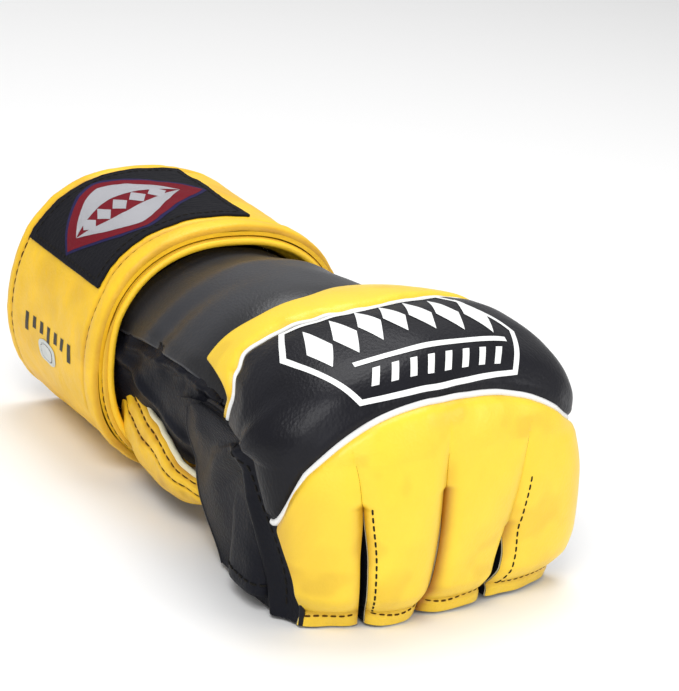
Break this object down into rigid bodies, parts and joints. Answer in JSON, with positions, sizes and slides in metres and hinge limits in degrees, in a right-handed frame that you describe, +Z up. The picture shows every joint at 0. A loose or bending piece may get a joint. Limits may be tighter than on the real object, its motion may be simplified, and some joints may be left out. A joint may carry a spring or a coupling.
{
  "type": "mma glove",
  "caption": "Padded open-finger grappling glove for the left hand, closed as a fist, with a wrap-round wrist strap, thumb hole and open palm.",
  "frame": {"origin": "middle of the footprint on the surface the glove rests on, palm down", "axes": "+X from the wrist to the knuckles, +Y towards the little finger, +Z up, from the palm to the back of the hand"},
  "size_m": [0.1892, 0.109, 0.0785],
  "materials": {
    "yellow_leather": "semi-gloss grained leather",
    "black_leather": "semi-gloss grained leather",
    "white_piping": "smooth satin piping",
    "foam": "closed-cell foam, matt",
    "lining": "brushed nylon",
    "hook_and_loop": "matt hook-and-loop tape",
    "woven_label": "woven satin label",
    "silver_foil": "foil sticker"
  },
  "bodies": {
    "hand": {"wrist_cuff": "black_leather", "cuff_lining": "lining", "strap_inner_turn": "yellow_leather", "strap_anchor": "yellow_leather", "loop_patch": "hook_and_loop", "back_hand_panel": "black_leather", "thumb_side_gusset": "black_leather", "little_side_gusset": "black_leather", "thumb_binding": "yellow_leather", "palm_panel": "black_leather", "palm_opening_binding": "black_leather", "palm_fold": "black_leather", "rear_panel": "yellow_leather", "rear_piping": "white_piping", "knuckle_panel_rear": "black_leather", "back_foam": "foam", "hand_lining": "lining", "knuckle_panel": "black_leather", "centre_foam": "foam"},
    "knuckle_section": {"front_piping": "white_piping", "front_panel": "yellow_leather", "knuckle_foam": "foam", "knuckle_lining": "lining"},
    "index_finger": {"index_cover": "yellow_leather", "index_foam": "foam", "index_lining": "lining", "index_loop": "black_leather"},
    "middle_finger": {"middle_cover": "yellow_leather", "middle_foam": "foam", "middle_lining": "lining", "middle_loop": "black_leather"},
    "ring_finger": {"ring_cover": "yellow_leather", "ring_foam": "foam", "ring_lining": "lining", "ring_loop": "black_leather"},
    "little_finger": {"little_cover": "yellow_leather", "little_foam": "foam", "little_lining": "lining", "little_loop": "black_leather"},
    "strap_1": {"strap_segment_1": "yellow_leather"},
    "strap_2": {"strap_segment_2": "yellow_leather", "sticker": "silver_foil"},
    "strap_3": {"strap_segment_3": "yellow_leather", "label_patch_side": "woven_label"},
    "strap_4": {"strap_segment_4": "yellow_leather", "label_patch_back": "woven_label"},
    "strap_5": {"strap_segment_5": "yellow_leather"},
    "strap_6": {"strap_segment_6": "yellow_leather", "hook_patch": "hook_and_loop"}
  },
  "joints": [
    {"name": "knuckle_bend", "type": "hinge", "parent": "hand", "child": "knuckle_section", "pos_m": [0.0634, -0.0025, 0.046], "axis": [0, 1, 0], "range_deg": [-50, 4], "deforming": ["knuckle_panel", "centre_foam", "palm_fold"]},
    {"name": "index_flex", "type": "hinge", "parent": "knuckle_section", "child": "index_finger", "pos_m": [0.08312, -0.03141, 0.044], "axis": [0, 1, 0], "range_deg": [-12, 6]},
    {"name": "middle_flex", "type": "hinge", "parent": "knuckle_section", "child": "middle_finger", "pos_m": [0.08548, -0.0122, 0.044], "axis": [0, 1, 0], "range_deg": [-12, 6]},
    {"name": "ring_flex", "type": "hinge", "parent": "knuckle_section", "child": "ring_finger", "pos_m": [0.08156, 0.00721, 0.044], "axis": [0, 1, 0], "range_deg": [-12, 6]},
    {"name": "little_flex", "type": "hinge", "parent": "knuckle_section", "child": "little_finger", "pos_m": [0.07739, 0.02663, 0.044], "axis": [0, 1, 0], "range_deg": [-12, 6]},
    {"name": "strap_peel", "type": "hinge", "parent": "hand", "child": "strap_1", "pos_m": [-0.0616, -0.03282, 0.00323], "axis": [1, 0, 0], "range_deg": [0, 42]},
    {"name": "strap_bend_2", "type": "hinge", "parent": "strap_1", "child": "strap_2", "pos_m": [-0.0616, -0.04939, 0.02122], "axis": [1, 0, 0], "range_deg": [0, 42]},
    {"name": "strap_bend_3", "type": "hinge", "parent": "strap_2", "child": "strap_3", "pos_m": [-0.0616, -0.05083, 0.05016], "axis": [1, 0, 0], "range_deg": [0, 42]},
    {"name": "strap_bend_4", "type": "hinge", "parent": "strap_3", "child": "strap_4", "pos_m": [-0.0616, -0.03282, 0.07277], "axis": [1, 0, 0], "range_deg": [0, 42]},
    {"name": "strap_bend_5", "type": "hinge", "parent": "strap_4", "child": "strap_5", "pos_m": [-0.0616, 0.00365, 0.07623], "axis": [1, 0, 0], "range_deg": [0, 42]},
    {"name": "strap_bend_6", "type": "hinge", "parent": "strap_5", "child": "strap_6", "pos_m": [-0.0616, 0.02809, 0.05956], "axis": [1, 0, 0], "range_deg": [0, 42]}
  ],
  "couplings": [
    {"joint": "strap_bend_2", "follows": "strap_peel", "ratio": 1},
    {"joint": "strap_bend_3", "follows": "strap_peel", "ratio": 1},
    {"joint": "strap_bend_4", "follows": "strap_peel", "ratio": 1},
    {"joint": "strap_bend_5", "follows": "strap_peel", "ratio": 1},
    {"joint": "strap_bend_6", "follows": "strap_peel", "ratio": 1}
  ]
}
